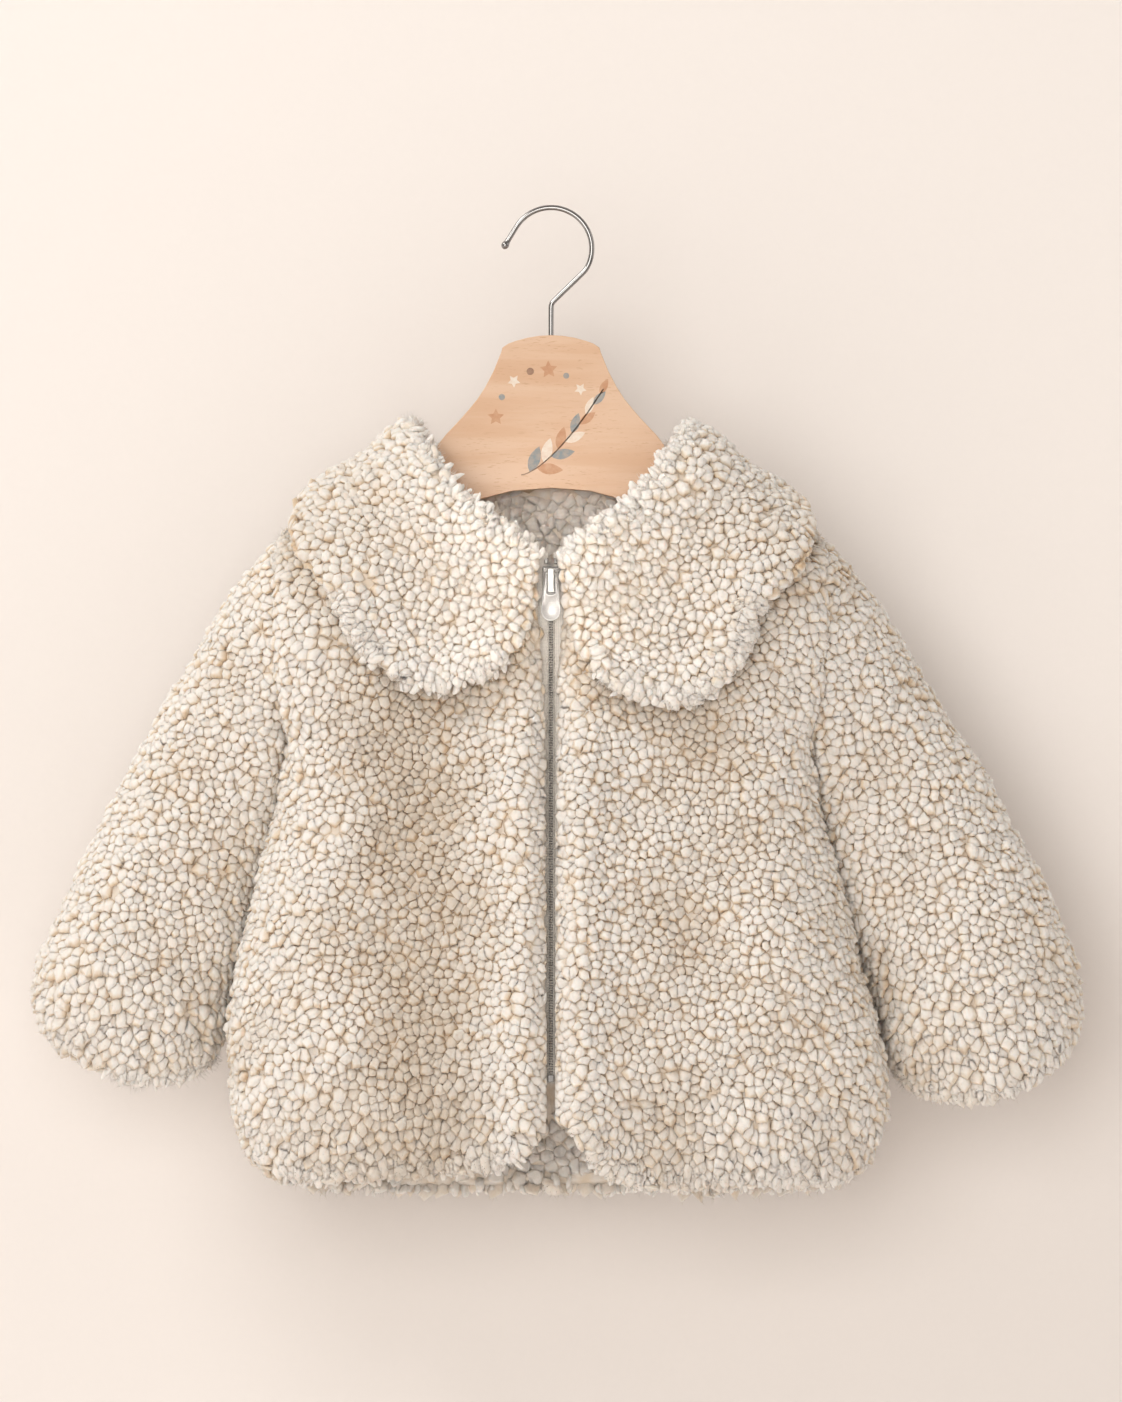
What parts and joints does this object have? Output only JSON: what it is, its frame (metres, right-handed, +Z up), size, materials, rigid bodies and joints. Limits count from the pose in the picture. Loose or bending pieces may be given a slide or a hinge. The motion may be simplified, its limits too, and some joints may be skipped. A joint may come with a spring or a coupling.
{
  "type": "faux fur coat on a hanger",
  "caption": "Toddler's curly faux fur coat with a petal collar, a zip front and long sleeves, hanging on a broad wooden hanger with a wire hook.",
  "frame": {"origin": "inside of the hook's crown, where a rail or wall hook carries the hanger", "axes": "+Z up; -Y out of the coat's front; +X towards the right-hand side as seen from the front"},
  "size_m": [0.5648, 0.1182, 0.5332],
  "materials": {
    "fur": "curly ivory pile on a knitted backing",
    "zip_tape": "light beige woven tape",
    "zip_coil": "grey-brown nylon coil",
    "zip_metal": "satin silver",
    "beech": "satin clear varnish",
    "hook_steel": "bright"
  },
  "bodies": {
    "coat": {"back": "fur", "front_left": "fur", "front_right": "fur", "sleeve_left": "fur", "sleeve_right": "fur", "collar_left": "fur", "collar_right": "fur", "zip_tape_left": "zip_tape", "zip_tape_right": "zip_tape", "zip_coil_left": "zip_coil", "zip_coil_right": "zip_coil", "zip_stop_left": "zip_metal", "zip_stop_right": "zip_metal", "zip_box": "zip_metal", "zip_slider": "zip_metal", "hanger_board": "beech", "hanger_hook": "hook_steel"},
    "pull_tab": {"zip_pull": "zip_metal"}
  },
  "joints": [
    {"name": "pull_tab_swing", "type": "hinge", "parent": "coat", "child": "pull_tab", "pos_m": [0, -0.04318, -0.19635], "axis": [-1, 0, 0], "range_deg": [0, 165]}
  ]
}
